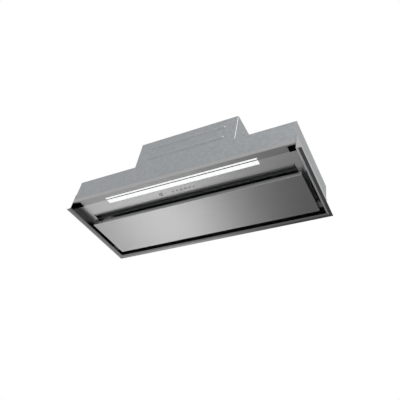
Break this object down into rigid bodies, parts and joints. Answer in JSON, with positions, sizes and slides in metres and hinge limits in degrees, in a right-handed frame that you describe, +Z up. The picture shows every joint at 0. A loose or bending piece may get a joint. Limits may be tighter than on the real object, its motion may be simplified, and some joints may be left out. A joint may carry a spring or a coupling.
{
  "type": "range hood insert",
  "caption": "Cabinet-mounted range hood insert with a drop-down suction panel, LED light strip, push buttons, mesh grease filters, blower and round duct outlet.",
  "frame": {"origin": "centre of the frame's visible underside, in the plane of the lip that closes the cabinet from below", "axes": "+X to the right seen from the front, +Y to the wall, +Z up"},
  "size_m": [0.898, 0.33, 0.315],
  "materials": {
    "frame_steel": "brushed stainless steel sheet, grain along the long edges",
    "panel_steel": "brushed stainless steel sheet, grain from side to side",
    "hinge_steel": "nickel-plated steel",
    "galvanised_steel": "hot-dip galvanised sheet, unpainted",
    "filter_aluminium": "washed aluminium sheet and expanded mesh",
    "channel_aluminium": "extruded aluminium, mill finish",
    "lens_plastic": "opal moulded plastic, lit from behind",
    "button_metal": "satin chrome on moulded caps",
    "black_plastic": "black moulded plastic",
    "grey_plastic": "grey moulded plastic",
    "circuit_board": "glass-fibre circuit board",
    "rubber": "black vulcanised rubber",
    "motor_metal": "grey paint over steel",
    "shaft_steel": "ground steel",
    "zinc": "zinc-plated steel",
    "magnet": "nickel-plated magnet"
  },
  "bodies": {
    "hood": {"bezel_frame": "frame_steel", "front_rail": "frame_steel", "control_sheet": "frame_steel", "light_lens": "lens_plastic", "light_channel": "channel_aluminium", "light_end_caps": "grey_plastic", "light_board": "circuit_board", "control_housing": "black_plastic", "control_board": "circuit_board", "canopy_shell": "galvanised_steel", "front_bulkhead": "galvanised_steel", "rear_filter_rail": "galvanised_steel", "filter_frame_1": "filter_aluminium", "filter_frame_2": "filter_aluminium", "filter_frame_3": "filter_aluminium", "filter_mesh_1": "filter_aluminium", "filter_mesh_2": "filter_aluminium", "filter_mesh_3": "filter_aluminium", "hinge_bracket_left": "hinge_steel", "hinge_bracket_right": "hinge_steel", "hinge_pin_left": "shaft_steel", "hinge_pin_right": "shaft_steel", "motor_box": "galvanised_steel", "scroll_left": "grey_plastic", "scroll_right": "grey_plastic", "motor": "motor_metal", "motor_bracket": "zinc", "motor_bushes": "rubber", "outlet_collar": "black_plastic", "flap_pins": "shaft_steel", "terminal_base": "black_plastic", "terminal_lid": "black_plastic", "power_board": "circuit_board", "cable_gland": "black_plastic", "capacitor": "grey_plastic", "capacitor_clip": "zinc", "frame_rivets": "channel_aluminium", "sheet_screws": "zinc"},
    "suction_panel": {"panel_skin": "panel_steel", "panel_liner": "panel_steel", "panel_ear_left": "hinge_steel", "panel_ear_right": "hinge_steel", "panel_magnet_left": "magnet", "panel_magnet_right": "magnet"},
    "blower_wheel": {"impeller": "grey_plastic", "motor_shaft": "shaft_steel"},
    "front_flap": {"flap_front": "black_plastic"},
    "rear_flap": {"flap_rear": "black_plastic"},
    "main_button_body": {"main_button": "button_metal"},
    "light_button_body": {"light_button": "button_metal"},
    "speed_one_button_body": {"speed_one_button": "button_metal"},
    "speed_two_button_body": {"speed_two_button": "button_metal"},
    "speed_three_button_body": {"speed_three_button": "button_metal"},
    "boost_button_body": {"boost_button": "button_metal"},
    "timer_button_body": {"timer_button": "button_metal"},
    "latch_1": {"filter_latch_1": "grey_plastic"},
    "latch_2": {"filter_latch_2": "grey_plastic"},
    "latch_3": {"filter_latch_3": "grey_plastic"}
  },
  "joints": [
    {"name": "panel_hinge", "type": "hinge", "parent": "hood", "child": "suction_panel", "pos_m": [0, 0.1035, 0.0195], "axis": [1, 0, 0], "range_deg": [0, 90]},
    {"name": "blower_spin", "type": "hinge", "parent": "hood", "child": "blower_wheel", "pos_m": [0, 0.0425, 0.1775], "axis": [1, 0, 0], "continuous": true},
    {"name": "front_flap_hinge", "type": "hinge", "parent": "hood", "child": "front_flap", "pos_m": [0, -0.0325, 0.29298], "axis": [-1, 0, 0], "range_deg": [0, 80]},
    {"name": "rear_flap_hinge", "type": "hinge", "parent": "hood", "child": "rear_flap", "pos_m": [0, -0.0245, 0.29298], "axis": [1, 0, 0], "range_deg": [0, 80]},
    {"name": "main_button_press", "type": "slide", "parent": "hood", "child": "main_button_body", "axis": [0, 0, 1], "range_m": [0, 0.0008], "stiffness_N_per_m": 300, "springref_m": -0.001},
    {"name": "light_button_press", "type": "slide", "parent": "hood", "child": "light_button_body", "axis": [0, 0, 1], "range_m": [0, 0.0008], "stiffness_N_per_m": 300, "springref_m": -0.001},
    {"name": "speed_one_button_press", "type": "slide", "parent": "hood", "child": "speed_one_button_body", "axis": [0, 0, 1], "range_m": [0, 0.0008], "stiffness_N_per_m": 300, "springref_m": -0.001},
    {"name": "speed_two_button_press", "type": "slide", "parent": "hood", "child": "speed_two_button_body", "axis": [0, 0, 1], "range_m": [0, 0.0008], "stiffness_N_per_m": 300, "springref_m": -0.001},
    {"name": "speed_three_button_press", "type": "slide", "parent": "hood", "child": "speed_three_button_body", "axis": [0, 0, 1], "range_m": [0, 0.0008], "stiffness_N_per_m": 300, "springref_m": -0.001},
    {"name": "boost_button_press", "type": "slide", "parent": "hood", "child": "boost_button_body", "axis": [0, 0, 1], "range_m": [0, 0.0008], "stiffness_N_per_m": 300, "springref_m": -0.001},
    {"name": "timer_button_press", "type": "slide", "parent": "hood", "child": "timer_button_body", "axis": [0, 0, 1], "range_m": [0, 0.0008], "stiffness_N_per_m": 300, "springref_m": -0.001},
    {"name": "latch_1_slide", "type": "slide", "parent": "hood", "child": "latch_1", "axis": [0, 1, 0], "range_m": [0, 0.007], "stiffness_N_per_m": 150, "springref_m": -0.01},
    {"name": "latch_2_slide", "type": "slide", "parent": "hood", "child": "latch_2", "axis": [0, 1, 0], "range_m": [0, 0.007], "stiffness_N_per_m": 150, "springref_m": -0.01},
    {"name": "latch_3_slide", "type": "slide", "parent": "hood", "child": "latch_3", "axis": [0, 1, 0], "range_m": [0, 0.007], "stiffness_N_per_m": 150, "springref_m": -0.01}
  ]
}
